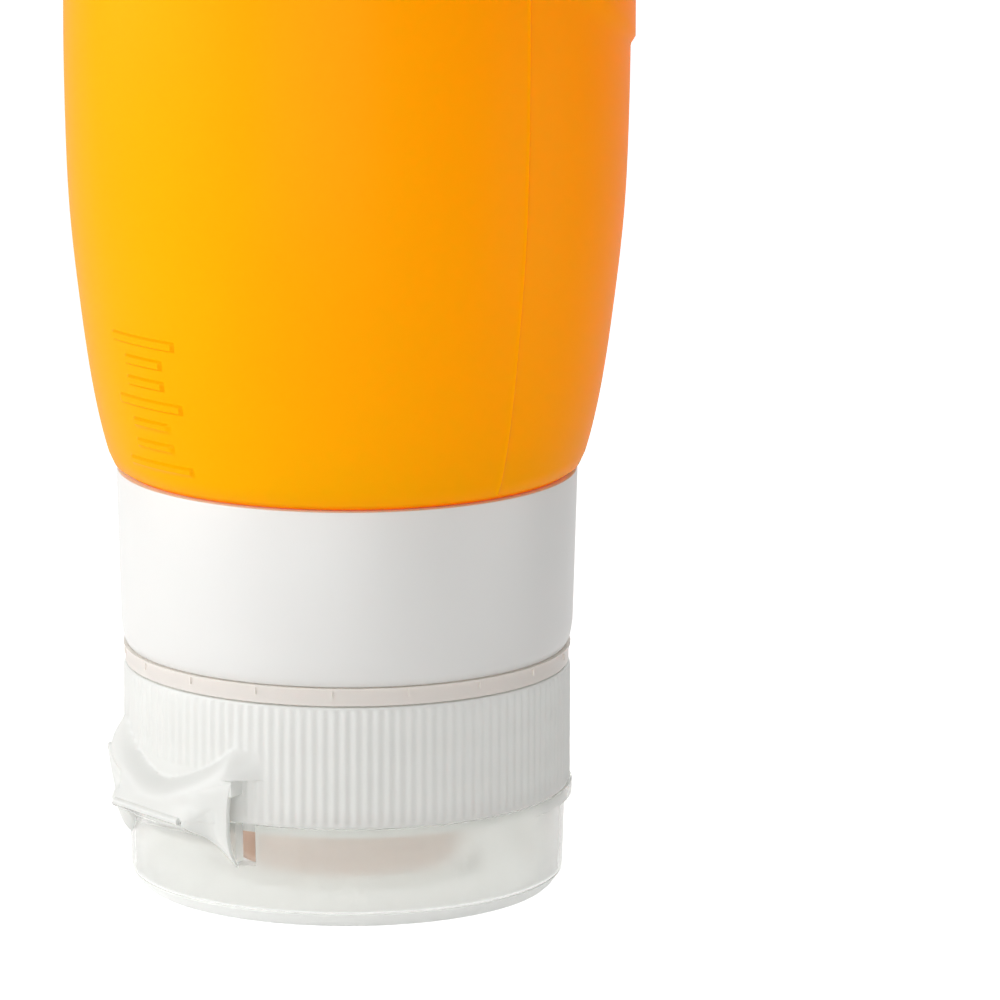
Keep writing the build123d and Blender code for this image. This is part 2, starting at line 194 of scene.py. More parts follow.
SEAM_HALF_WIDTH = 0.22
SEAM_TOP = 113.0
SEAM_FADE = 2.0
SEAM_COLUMNS = 7
PANEL_HEIGHT = 0.4
PANEL_HALF_WIDTH = 22.8
PANEL_HALF_HEIGHT = 8.6
PANEL_LEVEL = 76.55
PANEL_EDGE = 0.5
MARK_HEIGHT = 0.25
MARK_HALF_WIDTH = 0.33
MARK_EDGE = 0.16
MARK_MARGIN = 0.4
MARK_PITCH = 1.75
MARK_LEVEL = 42.65
MARK_SIDE = 0.4
MARK_LENGTHS = (7.6, 4.4, 4.4, 7.6, 4.4, 4.4, 7.6)
SCALE_WAIST = 0.85
BODY_COLUMNS = 180
FINE_ANGLE = 0.012
ROW_STEPS = (0.16, 0.4, 1.0)
INNER_STEP = 2.0


def spline(points, first, last, count=400):
    """Clamped cubic spline through points, with the given end directions, as an array."""
    knots = np.array(points, float)
    gaps = np.linalg.norm(np.diff(knots, axis=0), axis=1)
    size = len(knots)
    rows, right = np.eye(size), np.zeros((size, 2))
    right[0], right[-1] = Vector(first).normalized(), Vector(last).normalized()
    for i in range(1, size - 1):
        rows[i, i - 1:i + 2] = gaps[i], 2 * (gaps[i - 1] + gaps[i]), gaps[i - 1]
        rise = gaps[i] * (knots[i] - knots[i - 1]) / gaps[i - 1]
        right[i] = 3 * (rise + gaps[i - 1] * (knots[i + 1] - knots[i]) / gaps[i])
    slopes = np.linalg.solve(rows, right)
    line = [knots[0]]
    for i in range(size - 1):
        for t in np.linspace(0, 1, count // (size - 1) + 1)[1:]:
            a, b = 2 * t**3 - 3 * t**2 + 1, t**3 - 2 * t**2 + t
            c, d = 3 * t**2 - 2 * t**3, t**3 - t**2
            line.append(a * knots[i] + b * gaps[i] * slopes[i] + c * knots[i + 1]
                        + d * gaps[i] * slopes[i + 1])
    return np.array(line)


def body_line(inset):
    """Outline of the body's outside from shoulder to base, drawn in by inset."""
    low, high = BODY_BOTTOM + inset, BODY_TOP - inset

    def at(share):
        return (BELLY_RADIUS * share[1] - inset, low + (high - low) * share[0])

    corner, side = at(CORNER), [at(share) for share in LOWER_SIDE]
    return np.vstack([
        spline([(SHOULDER_FLAT - inset, low), corner], (1, 0), (0.3, 1), 24),
        spline([corner] + side, (0.3, 1), (0, 1))[1:],
        spline([side[-1]] + [at(share) for share in UPPER_SIDE] + [(BASE_FLAT, high)],
               (0, 1), (-1, 0))[1:],
    ])


def ramp(value, edge):
    """0 below nothing, 1 past the edge, smooth between."""
    share = min(max(value / edge, 0.0), 1.0)
    return share * share * (3 - 2 * share)


def relief(angle, radius, level):
    """How far the skin stands out at this angle from the front and this level."""
    turned = angle - BODY_TURN
    side, depth = radius * math.sin(turned), -math.cos(turned)
    seam = max(0.0, 1 - abs(depth * radius) / SEAM_HALF_WIDTH) * SEAM_HEIGHT
    out = seam * ramp(SEAM_TOP - level, SEAM_FADE) if level > BODY_BOTTOM else 0.0
    if depth > 0:
        inside = 1 - math.hypot(side / PANEL_HALF_WIDTH, (level - PANEL_LEVEL) / PANEL_HALF_HEIGHT)
        out = max(out, PANEL_HEIGHT * ramp(inside * PANEL_HALF_HEIGHT, PANEL_EDGE))
    else:
        nearest = round((level - MARK_LEVEL) / MARK_PITCH)
        index = nearest + len(MARK_LENGTHS) // 2
        if 0 <= index < len(MARK_LENGTHS):
            along = MARK_LENGTHS[index] / 2 - abs(side - MARK_SIDE)
            across = MARK_HALF_WIDTH - abs(level - MARK_LEVEL - MARK_PITCH * nearest)
            out += MARK_HEIGHT * ramp(min(along, across) + MARK_EDGE / 2, MARK_EDGE)
    return out


def spaced(line, step_at):
    """Points of a dense line, kept so far apart as step_at says at their level."""
    kept, run = [line[0]], 0.0
    for before, point in zip(line, line[1:]):
        run += np.linalg.norm(point - before)
        if run >= step_at(point[1]):
            kept.append(point)
            run = 0.0
    if run:
        kept.append(line[-1])
    return kept


def turned_mesh(name, rows, angles, slots=()):
    """Closed solid from rows round the axis, in mm: each is a radius and level, or gives
    them for an angle from the front. First and last rows on the axis are poles. A slot
    is cut through from row to row, between two columns."""
    poles = not callable(rows[0]) and rows[0][0] == 0
    rings = rows[1:-1] if poles else rows
    count, points, faces = len(angles), [], []
    for row in rings:
        for angle in angles:
            radius, level = row(angle) if callable(row) else row
            points.append((radius * math.sin(angle), -radius * math.cos(angle), level))
    for row in range(len(rings) - 1 if poles else len(rings)):
        low, high = row * count, (row + 1) % len(rings) * count
        for i in range(count):
            if not any(a <= i < b and c <= row < d for a, b, c, d in slots):
                j = (i + 1) % count
                faces.append((low + i, low + j, high + j, high + i))
    for first, last, low, high in slots:
        for column in (first, last):
            faces.append([row * count + column for row in range(low, high + 1)])
        for i in range(first, last):
            under, over = low * count + i, high * count + i
            faces.append((under, under + 1, over + 1, over))
    if poles:
        for row, pole in ((0, rows[0]), (len(rings) - 1, rows[-1])):
            points.append((0, 0, pole[1]))
            for i in range(count):
                faces.append((row * count + i, row * count + (i + 1) % count, len(points) - 1))
    return finished(name, [[c * MM for c in point] for point in points], faces)


def finished(name, points, faces):
    """Object at the origin from points and faces, faces outward, shaded smooth by angle."""
    mesh = bpy.data.meshes.new(name)
    mesh.from_pydata(points, [], faces)
    work = bmesh.new()
    work.from_mesh(mesh)
    bmesh.ops.remove_doubles(work, verts=work.verts, dist=1e-7)
    bmesh.ops.recalc_face_normals(work, faces=work.faces)
    if work.calc_volume(signed=True) < 0:
        bmesh.ops.reverse_faces(work, faces=work.faces)
    work.to_mesh(mesh)
    work.free()
    mesh.shade_smooth()
    mesh.set_sharp_from_angle(angle=math.radians(35))
    made = bpy.data.objects.new(name, mesh)
    bpy.context.scene.collection.objects.link(made)
    return made


def dressed(piece, material, body, slot, *nodes):
    """Gives a piece its material, body and the CAD nodes it stands for; the slot is not used."""
    piece.data.materials.clear()
    piece.data.materials.append(material)
    if body:
        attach(piece, body)
    if nodes:
        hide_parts(*nodes)


def moulded(name, tones, patch, grain, depth, roughness, through=None, share=0.0, **extra):
    """Moulded material: two tones that drift over patches, a fine grain with its size and
    depth, all in mm, and a share that lets light through in a colour of its own."""
    material = bpy.data.materials.new(name)
    material.use_nodes = True
    tree = material.node_tree
    tree.nodes.clear()
    place = node(tree, "ShaderNodeTexCoord")
    spot = node(tree, "ShaderNodeVectorMath", {"operation": "SCALE"},
                _0=place.outputs["Object"], Scale=1 / MM)
    drift = node(tree, "ShaderNodeTexNoise", None,
                 Vector=spot.outputs[0], Scale=1 / patch, Detail=2.0)
    tone = node(tree, "ShaderNodeMix", {"data_type": "RGBA"},
                _0=drift.outputs[0], _6=linear(tones[0]), _7=linear(tones[1]))
    polish = node(tree, "ShaderNodeMapRange", None, Value=drift.outputs[0],
                  To_Min=roughness - 0.05, To_Max=roughness + 0.05)
    speck = node(tree, "ShaderNodeTexNoise", None,
                 Vector=spot.outputs[0], Scale=1 / grain, Detail=3.0)
    bump = node(tree, "ShaderNodeBump", None,
                Strength=1.0, Distance=depth * MM, Height=speck.outputs[0])
    skin = node(tree, "ShaderNodeBsdfPrincipled", None, Base_Color=tone.outputs[2],
                Roughness=polish.outputs[0], Normal=bump.outputs[0], **extra)
    shown = skin
    if through:
        glow = node(tree, "ShaderNodeBsdfTranslucent", None,
                    Color=linear(through), Normal=bump.outputs[0])
        shown = node(tree, "ShaderNodeMixShader", None,
                     _0=share, _1=skin.outputs[0], _2=glow.outputs[0])
    node(tree, "ShaderNodeOutputMaterial", None, Surface=shown.outputs[0])
    return material


def body_step(level):
    """Row spacing in mm: closest over the scale, close over the panel, wide elsewhere."""
    if abs(level - MARK_LEVEL) < MARK_PITCH * 3 + 1:
        return ROW_STEPS[0]
    if abs(level - PANEL_LEVEL) < PANEL_HALF_HEIGHT + 1:
        return ROW_STEPS[1]
    return ROW_STEPS[2]


mark_span = (max(MARK_LENGTHS) / 2 + MARK_SIDE + MARK_MARGIN) / BELLY_RADIUS / SCALE_WAIST
body_angles = [BODY_TURN + np.linspace(0, 2 * math.pi, BODY_COLUMNS, endpoint=False)]
body_angles.append(BODY_TURN + np.arange(-mark_span, mark_span, FINE_ANGLE))
for seam in (math.pi / 2, 1.5 * math.pi):
    body_angles.append(BODY_TURN + seam + np.linspace(-FINE_ANGLE, FINE_ANGLE, SEAM_COLUMNS))
body_angles = np.unique(np.round(np.concatenate(body_angles) % (2 * math.pi), 4))
outside = spaced(body_line(0), body_step)
inside = spaced(body_line(BODY_WALL), lambda level: INNER_STEP)
body_outline = [tuple(p) for p in outside[::-1]] + [
    (NECK_RADIUS, BODY_BOTTOM), (NECK_RADIUS, NECK_MIDDLE), (NECK_RADIUS, LIP_TOP),
    (LIP_RADIUS - LIP_EDGE, LIP_TOP), (LIP_RADIUS, LIP_TOP - LIP_EDGE),
    (LIP_RADIUS, LIP_BOTTOM + LIP_EDGE), (LIP_RADIUS - LIP_EDGE, LIP_BOTTOM),
    (NECK_BORE, LIP_BOTTOM), (NECK_BORE, NECK_MIDDLE),
    (NECK_BORE, BODY_BOTTOM + BODY_WALL),
] + [tuple(p) for p in inside]
body_rows = [lambda a, r=r, z=z: (r + relief(a, r, z), z) for r, z in body_outline]
body_rows = [(0, BODY_TOP)] + body_rows + [(0, BODY_TOP - BODY_WALL)]
body = turned_mesh("silicone_body", body_rows, body_angles)

# Injection-moulded silicone rubber, pigmented orange: the mould is finely matted, which
# gives a soft satin skin, and light that enters the wall comes out redder elsewhere.
silicone = moulded("orange_silicone", ("#FFFC00", "#FFF400"), patch=14, grain=0.35, depth=0.004,
                   roughness=0.32, through="#FF3000", share=0.57,
                   Specular_IOR_Level=0.1, IOR=1.41)
dressed(body, silicone, "bottle", "orange_silicone", "bottle_body")


# The closure is one injection moulding of frosted polypropylene: a finely ribbed skirt
# with the screw thread inside, a deck with the dispensing dome, and on the front a
# smooth visor that swells out over the hinge and ends in two ears.
SKIRT_RADIUS = 18.3
SKIRT_BORE = 17.27
SKIRT_TOP = 18.6
DECK_BOTTOM = 8.5
DECK_TOP = 9.5
DECK_EDGE = 0.12
WALL_ROWS = 29
WALL_LEVELS = [16.5, 17.5, 18.3]
LEDGE_STEPS = (-0.08, -0.01, 0.06)
SPIGOT = (15.6, 16.6, 7.4)
SEAT_RING = (11.8, 12.6, 11.1)
DOME_BORE = 9.4
DOME_RADIUS = 10.3
DOME_BOTTOM = 2.3
DOME_FLOOR = 1.0
DOME_DRAFT = 0.7
DOME_ROUND = 1.1
ORIFICE = 2.0
EDGE_ROUND = 0.14
RIB_COUNT = 128
RIB_DEPTH = 0.14
RIB_MARGIN = 0.25
RIB_STEPS = 6
THREAD_PITCH = 3.0
THREAD_TURNS = 1.5
THREAD_DEPTH = 0.85
THREAD_START = 11.37
THREAD_HALF_WIDTH = 0.65
THREAD_FLANK = 0.3
THREAD_RUN_IN = 0.03
THREAD_LEVELS = (18.3, 9.9)
THREAD_ROWS = 24
HINGE_HALF_ANGLE = math.radians(24)
VISOR_REACH = 1.88
VISOR_TOP = 14.8
EAR_REACH = 1.7
ROOF_START = -0.7
ROOF_HEIGHT = (2.1, 1.2)
RIM_LEVEL = 9.7
RIM_RISE = 0.131
RIM_BEND = 5.0
UNDERCUT = 0.3
SWELL_ANGLES = (math.radians(22), math.radians(34))
RECESS_ANGLES = (math.radians(21.4), math.radians(27.3))
KNOB_ANGLE = math.radians(26.0)
RECESS_TOP = 10.95
EAR_TOP = 12.25
EAR_EDGE = math.radians(0.3)
HINGE_REACH = 20.158
HINGE_LEVEL = 8.45
HINGE_LIP = 1.5
HINGE_EASE = 2.0
FILM_HALF_LENGTH = 4.5


def softened(corners):
    """Outline through the corners, each one rounded but the first and the last."""
    line = [np.array(corners[0][:2])]
    for before, here, after in zip(corners, corners[1:], corners[2:]):
        radius = here[2] if len(here) > 2 else EDGE_ROUND
        middle = np.array(here[:2])
        ends = []
        for other in (before, after):
            way = np.array(other[:2]) - middle
            length = np.linalg.norm(way)
            ends.append(middle + way / length * min(radius, length / 3))
        line += [ends[0], (ends[0] + 2 * middle + ends[1]) / 4, ends[1]]
    return [tuple(point) for point in line] + [tuple(corners[-1][:2])]


def wrapped(angle):
    """Angle from the front, between minus and plus half a turn."""
    return (angle + math.pi) % (2 * math.pi) - math.pi


def hinge_lip(angle, radius, away):
    """Radius drawn out to the straight hinge line, less with the height away from it."""
    straight = HINGE_REACH / math.cos(angle)
    share = 1 - ramp(radius * abs(math.sin(angle)) - FILM_HALF_LENGTH, HINGE_EASE)
    return radius + (straight - radius) * share * (1 - ramp(away, HINGE_LIP))


def rim_level(angle):
    """Level at which the visor stands out most; it rises from the film to the ears."""
    degrees = math.degrees(min(abs(angle), HINGE_HALF_ANGLE))
    return RIM_LEVEL + RIM_RISE * (math.hypot(degrees, RIM_BEND) - RIM_BEND)


def visor_face(angle, level):
    """Outer radius of the visor: a roof above its rim, drawn in a little below it."""
    share = min(abs(angle) / HINGE_HALF_ANGLE, 1.0)
    reach = VISOR_REACH + (EAR_REACH - VISOR_REACH) * share**2
    rim = rim_level(angle)
    over = (level - rim - ROOF_START) / (ROOF_HEIGHT[0] + ROOF_HEIGHT[1] * share**4)
    if over > 0:
        reach *= 1 - min(over, 1.0)**2 * (1 + ramp(over, 1.0)) / 2
    else:
        reach *= 1 - UNDERCUT * share**2 * ((rim - level) / (rim - DECK_BOTTOM))**1.5
    return hinge_lip(angle, SKIRT_RADIUS + reach, level - DECK_BOTTOM)


def visor(angle, level):
    """Outer radius of the closure's wall: the skirt, swollen over the hinge, with a
    recess behind each ear."""
    angle = wrapped(angle)
    if abs(angle) > SWELL_ANGLES[1]:
        return SKIRT_RADIUS
    edge, width = SWELL_ANGLES[0], SWELL_ANGLES[1] - SWELL_ANGLES[0]
    if level < EAR_TOP:
        edge, width = RECESS_ANGLES[0] if level < RECESS_TOP else KNOB_ANGLE, EAR_EDGE
    swell = visor_face(angle, level) - SKIRT_RADIUS
    return SKIRT_RADIUS + swell * (1 - ramp(abs(angle) - edge, width))


def thread(angle, level):
    """Inner radius of the skirt, with the screw ridge that winds up it."""
    turn = (angle / (2 * math.pi)) % 1.0
    out = 0.0
    for lap in range(2):
        if turn + lap <= THREAD_TURNS:
            far = abs(level - THREAD_START - THREAD_PITCH * (turn + lap))
            end = min(turn + lap, THREAD_TURNS - turn - lap)
            out = max(out, ramp(THREAD_HALF_WIDTH - far, THREAD_FLANK) * ramp(end, THREAD_RUN_IN))
    return SKIRT_BORE - THREAD_DEPTH * out


closure_angles = [np.arange(RIB_COUNT * RIB_STEPS) * 2 * math.pi / RIB_COUNT / RIB_STEPS]
for side in (-1, 1):
    for edge in (RECESS_ANGLES[0], KNOB_ANGLE):
        closure_angles.append(side * (edge + EAR_EDGE * np.linspace(0, 1, 5)))
closure_angles = np.unique(np.round(np.concatenate(closure_angles) % (2 * math.pi), 5))
spigot_bore, spigot_radius, spigot_bottom = SPIGOT
ring_bore, ring_radius, ring_top = SEAT_RING
wall_levels = list(np.linspace(DECK_BOTTOM + DECK_EDGE, VISOR_TOP, WALL_ROWS)) + WALL_LEVELS
for ledge in (RECESS_TOP, EAR_TOP):
    wall_levels += [ledge + step for step in LEDGE_STEPS]
wall_levels.sort()
closure_rows = [
    lambda a: (visor(a, DECK_BOTTOM) - DECK_EDGE, DECK_BOTTOM),
    lambda a: (visor(a, DECK_BOTTOM) - DECK_EDGE / 4, DECK_BOTTOM + DECK_EDGE / 4),
]
closure_rows += [lambda a, z=z: (visor(a, z), z) for z in wall_levels]
closure_rows += softened([
    (SKIRT_RADIUS, SKIRT_TOP - 0.2), (SKIRT_RADIUS, SKIRT_TOP), (SKIRT_BORE, SKIRT_TOP),
    (SKIRT_BORE, SKIRT_TOP - 0.2),
])
closure_rows += [lambda a, z=z: (thread(a, z), z) for z in np.linspace(*THREAD_LEVELS, THREAD_ROWS)]
closure_rows += softened([
    (SKIRT_BORE, DECK_TOP + 0.3), (SKIRT_BORE, DECK_TOP), (ring_radius, DECK_TOP),
    (ring_radius, ring_top), (ring_bore, ring_top), (ring_bore, DECK_TOP), (DOME_BORE, DECK_TOP),
    (DOME_BORE, DECK_BOTTOM), (DOME_BORE - DOME_DRAFT, DOME_BOTTOM + DOME_FLOOR),
    (ORIFICE, DOME_BOTTOM + DOME_FLOOR), (ORIFICE, DOME_BOTTOM),
    (DOME_RADIUS - DOME_DRAFT, DOME_BOTTOM, DOME_ROUND), (DOME_RADIUS, DECK_BOTTOM),
    (spigot_bore, DECK_BOTTOM), (spigot_bore, spigot_bottom), (spigot_radius, spigot_bottom),
    (spigot_radius, DECK_BOTTOM), (SKIRT_RADIUS - 0.5, DECK_BOTTOM),
])
closure = turned_mesh("ribbed_closure", closure_rows, closure_angles)
ribbed = closure.data.attributes.new("ribbed", "FLOAT", "POINT")
for i, vertex in enumerate(closure.data.vertices):
    x, y, z = (c / MM for c in vertex.co)
    angle = math.atan2(x, -y)
    low = EAR_TOP if abs(angle) < RECESS_ANGLES[1] else DECK_BOTTOM
    inside = ramp(z - low - RIB_MARGIN + 0.1, 0.3) * ramp(SKIRT_TOP - RIB_MARGIN - z + 0.1, 0.2)
    swell = math.hypot(x, y) - SKIRT_RADIUS
    ribbed.data[i].value = inside * max(0.0, 1 - swell / RIB_DEPTH) if swell > -0.02 else 0.0

# Geometry nodes push the skirt out into the ribs, a raised cosine for each.
ribs = bpy.data.node_groups.new("skirt_ribs", "GeometryNodeTree")
ribs.interface.new_socket("Geometry", in_out="INPUT", socket_type="NodeSocketGeometry")
count_socket = ribs.interface.new_socket("Rib count", in_out="INPUT", socket_type="NodeSocketInt")
depth_socket = ribs.interface.new_socket("Rib depth", in_out="INPUT", socket_type="NodeSocketFloat")
finish_socket = ribs.interface.new_socket(
    "Finish", in_out="INPUT", socket_type="NodeSocketMaterial")
ribs.interface.new_socket("Geometry", in_out="OUTPUT", socket_type="NodeSocketGeometry")
given = node(ribs, "NodeGroupInput")
place = node(ribs, "GeometryNodeInputPosition")
parts = node(ribs, "ShaderNodeSeparateXYZ", None, Vector=place.outputs[0])
bearing = node(ribs, "ShaderNodeMath", {"operation": "ARCTAN2"},
              _0=parts.outputs[1], _1=parts.outputs[0])
phase = node(ribs, "ShaderNodeMath", {"operation": "MULTIPLY"},
             _0=bearing.outputs[0], _1=given.outputs[1])
wave = node(ribs, "ShaderNodeMath", {"operation": "COSINE"}, _0=phase.outputs[0])
half_wave = node(ribs, "ShaderNodeMath", {"operation": "MULTIPLY_ADD"},
                 _0=wave.outputs[0], _1=0.5, _2=0.5)
share = node(ribs, "GeometryNodeInputNamedAttribute", {"data_type": "FLOAT"}, Name="ribbed")
height = node(ribs, "ShaderNodeMath", {"operation": "MULTIPLY"},
              _0=half_wave.outputs[0], _1=share.outputs[0])
height = node(ribs, "ShaderNodeMath", {"operation": "MULTIPLY"},
              _0=height.outputs[0], _1=given.outputs[2])
flat = node(ribs, "ShaderNodeCombineXYZ", None, X=parts.outputs[0], Y=parts.outputs[1])
outward = node(ribs, "ShaderNodeVectorMath", {"operation": "NORMALIZE"}, _0=flat.outputs[0])
push = node(ribs, "ShaderNodeVectorMath", {"operation": "SCALE"},
            _0=outward.outputs[0], Scale=height.outputs[0])
moved = node(ribs, "GeometryNodeSetPosition", None,
             Geometry=given.outputs[0], Offset=push.outputs[0])
real = node(ribs, "GeometryNodeRealizeInstances", None, Geometry=moved.outputs[0])
coated = node(ribs, "GeometryNodeSetMaterial", None,
              Geometry=real.outputs[0], Material=given.outputs[3])
node(ribs, "NodeGroupOutput", None, _0=coated.outputs[0])

# Natural polypropylene, injection moulded in a spark-textured mould: milky, so that what
# is inside shows only as soft tints, with a fine dry grain that keeps reflections dull.
frosted = moulded("frosted_polypropylene", ("#FBFCFA", "#F7F8F5"), patch=9, grain=0.3,
                  depth=0.006, roughness=0.38, through="#FAFBF8", share=0.12,
                  Transmission_Weight=0.24, IOR=1.49, Specular_IOR_Level=0.4)
# The same polypropylene in the dome's thin wall, moulded against a polished core: far
# clearer, with a peach tone painted into its colour for the orange valve's light shining through
# it.
polished = moulded("polished_polypropylene", ("#FFE6D2", "#FFE2CC"), patch=9, grain=0.3,
                   depth=0.002, roughness=0.22, through="#FFD8B8", share=0.15,
                   Transmission_Weight=0.4, IOR=1.49, Specular_IOR_Level=0.4)


def grown(piece, tree, values):
    """Runs a node tree on a piece with these input values and keeps the plain mesh."""
    modifier = piece.modifiers.new("growth", "NODES")
    modifier.node_group = tree
    for socket, value in values.items():
        modifier[socket.identifier] = value
    bpy.context.view_layer.update()
    evaluated = piece.evaluated_get(bpy.context.evaluated_depsgraph_get())
    mesh = bpy.data.meshes.new_from_object(evaluated)
    piece.modifiers.remove(modifier)
    piece.data = mesh


grown(closure, ribs, {
    count_socket: RIB_COUNT, depth_socket: RIB_DEPTH * MM, finish_socket: frosted,
})
closure.data.set_sharp_from_angle(angle=math.radians(50))
dressed(closure, frosted, "cap", "frosted_plastic", "closure", "hinge_bands_upper")
# The dome's faces below the deck take the polished material, with its painted peach glow.
closure.data.materials.append(polished)
for face in closure.data.polygons:
    x, y, z = (c / MM for c in face.center)
    face.material_index = int(math.hypot(x, y) < ring_bore and z < DECK_TOP)


# The lid is the shallow cup that the bottle stands on. Inside it has a plug for the
# orifice and a ring round the dome; outside a thumb lip at the back and, at the hinge,
# a flare under the two bands with a slot beside each.
LID_RADIUS = 18.05
LID_DRAFT = 0.22
LID_HEIGHT = 8.4
LID_WALL = 1.2
LID_FLOOR = 1.3
LID_CHAMFER = (0.9, 1.2)
LID_GROOVE = (0.12, 0.04, 0.16)
LID_LEVELS = (2.4, 3.3)
LID_EDGE = 0.12
LID_RING = (10.8, 11.5, 3.0)
PLUG = (1.6, 3.1)
THUMB_SHIFT = 1.15
THUMB_RADIUS = 17.7
THUMB_HEIGHT = 1.05
FLARE_REACH = 1.67
FLARE_HEIGHT = 2.6
FLARE_START = 4.2
BAND_HEIGHT = 3.7
BAND_RADIUS = 20.0
BAND_GAP = 0.06
FLARE_ROWS = 16
BACK_SHARES = (0.07, 0.3, 0.5, 0.7, 0.74, 0.85, 0.95, 1.0)
RING_COLUMNS = 240
SLOT_BOTTOM = 5.0
SLOT_ANGLES = (math.radians(23.8), math.radians(29.6))


def band_line(angle):
    """Level of the lower edge of the hinge band at this angle, or the lid's rim beside it."""
    side = BAND_RADIUS * math.sin(min(abs(wrapped(angle)), HINGE_HALF_ANGLE))
    end = BAND_RADIUS * math.sin(HINGE_HALF_ANGLE)
    share = (side - FILM_HALF_LENGTH) / (end - FILM_HALF_LENGTH)
    return HINGE_LEVEL - 0.05 - BAND_HEIGHT * max(share, 0.0)


def flare(level):
    """How far the lid's flare stands out at this level."""
    return FLARE_REACH * ramp(level - LID_HEIGHT + FLARE_HEIGHT, FLARE_HEIGHT)


def lid_wall(angle, level, behind=False):
    """Outer radius of the lid's wall; behind the band it has no flare."""
    turned = wrapped(angle)
    radius = LID_RADIUS - LID_DRAFT * (LID_HEIGHT - level) / (LID_HEIGHT - LID_CHAMFER[1])
    if level > LID_HEIGHT - THUMB_HEIGHT:
        back = math.cos(turned + math.pi)
        lip = THUMB_SHIFT * back + math.sqrt(THUMB_RADIUS**2 - (THUMB_SHIFT * math.sin(turned))**2)
        radius = max(radius, lip)
    if behind or abs(turned) > HINGE_HALF_ANGLE:
        return radius
    out = flare(level) * (1 - ramp(abs(turned) - HINGE_HALF_ANGLE + EAR_EDGE, EAR_EDGE))
    return hinge_lip(turned, radius + out, LID_HEIGHT - level)


def flare_row(share):
    """Row of the flare, a share of the way from the plain wall up to the band's edge."""
    def row(angle):
        top = band_line(angle) - BAND_GAP
        level = FLARE_START + (top - FLARE_START) * share
        return lid_wall(angle, level), level
    return row


def back_wall(angle, level):
    """Outer radius of the lid's wall where it passes behind the band."""
    return lid_wall(angle, level, behind=band_line(angle) < LID_HEIGHT - 0.1)


def back_row(share):
    """Row of the wall behind the band, a share of the way up to the rim."""
    def row(angle):
        low = band_line(angle)
        level = low + (LID_HEIGHT - 0.05 - low) * share
        return back_wall(angle, level), level
    return row


def band_edge(angle):
    """Row just inside the band's edge, where the wall steps back."""
    return back_wall(angle, band_line(angle)), band_line(angle)


foot, chamfer = LID_CHAMFER
deep, low, high = LID_GROOVE
lid_foot = LID_RADIUS - LID_DRAFT
ring_in, ring_out, ring_height = LID_RING
plug_radius, plug_top = PLUG
lid_rows = [(0, 0)] + softened([
    (9.0, 0), (lid_foot - foot, 0, 0.4), (lid_foot, chamfer, 0.1),
    (lid_foot - deep, chamfer + low, 0.02), (lid_foot - deep, chamfer + high - low, 0.02),
    (lid_foot + 0.01, chamfer + high, 0.02), (lid_foot + 0.01, chamfer + 0.4),
])
lid_rows += [lambda a, z=z: (lid_wall(a, z), z) for z in LID_LEVELS]
lid_rows += [flare_row(share) for share in np.linspace(0, 1, FLARE_ROWS)] + [band_edge]
slot_row = len(lid_rows)
lid_rows += [back_row(share) for share in BACK_SHARES]
lid_rows += [
    lambda a: (back_wall(a, LID_HEIGHT - 0.03) - 0.03, LID_HEIGHT - 0.02),
    lambda a: (back_wall(a, LID_HEIGHT) - LID_EDGE, LID_HEIGHT),
]
lid_bore = LID_RADIUS - LID_WALL
lid_rows += [(lid_bore + LID_EDGE, LID_HEIGHT), (lid_bore + 0.03, LID_HEIGHT - 0.03),
             (lid_bore, LID_HEIGHT - 0.15)]
slot_end = len(lid_rows)
lid_rows += [(lid_bore - 0.1, SLOT_BOTTOM)]
lid_rows += softened([
    (lid_bore - LID_EDGE, 4.0), (lid_bore - LID_DRAFT, LID_FLOOR), (ring_out, LID_FLOOR),
    (ring_out, ring_height), (ring_in, ring_height), (ring_in, LID_FLOOR),
    (plug_radius, LID_FLOOR), (plug_radius, plug_top), (plug_radius / 2, plug_top),
]) + [(0, plug_top)]
lid_angles = [np.linspace(0, 2 * math.pi, RING_COLUMNS, endpoint=False)]
for side in (-1, 1):
    lid_angles.append(side * (HINGE_HALF_ANGLE - EAR_EDGE * np.linspace(0, 1, 5)))
    lid_angles.append(side * np.linspace(math.radians(12), HINGE_HALF_ANGLE, 25))
    lid_angles.append(side * np.array(SLOT_ANGLES))
lid_angles = np.unique(np.round(np.concatenate(lid_angles) % (2 * math.pi), 5))
slots = []
for side in (-1, 1):
    edges = np.round(side * np.array(SLOT_ANGLES) % (2 * math.pi), 5)
    first, last = sorted(int(np.searchsorted(lid_angles, edge)) for edge in edges)
    slots.append((first, last, slot_row - 1, slot_end - 1))
lid = turned_mesh("flip_top_lid", lid_rows, lid_angles, slots)

# The same polypropylene in a thin wall that is frosted on the outside only: it lets
# more light through, and the dome stands behind it as a soft warm shape.
thin = moulded("thin_frosted_polypropylene", ("#FDFEFC", "#F9FAF7"), patch=9, grain=0.3,
               depth=0.004, roughness=0.2, through="#FAFBF8", share=0.12,
               Transmission_Weight=0.78, IOR=1.49, Specular_IOR_Level=0.4)
dressed(lid, thin, "flip_lid", "frosted_plastic", "lid")
lid.data.materials.append(frosted)
for face in lid.data.polygons:
    face.material_index = int(face.center.z < LID_FLOOR * MM)


# Two bands of the same moulding join lid and closure beside the hinge. Each is a thin
# plate that widens from the film to an ear and stands clear of the wall there.
BAND_TIP = math.radians(13.4)
BAND_END = math.radians(24.0)
BAND_BOW = math.radians(2.2)
BAND_MIDDLE = 7.5
WEB_ANGLES = (math.radians(14.5), math.radians(21.3))
WEB_RISE = 1.5
WEB_DEPTH = 0.16
BAND_THICKNESS = 0.45
BAND_PROUD = 0.05
BAND_ROUND = 0.1
BAND_STEPS = 20


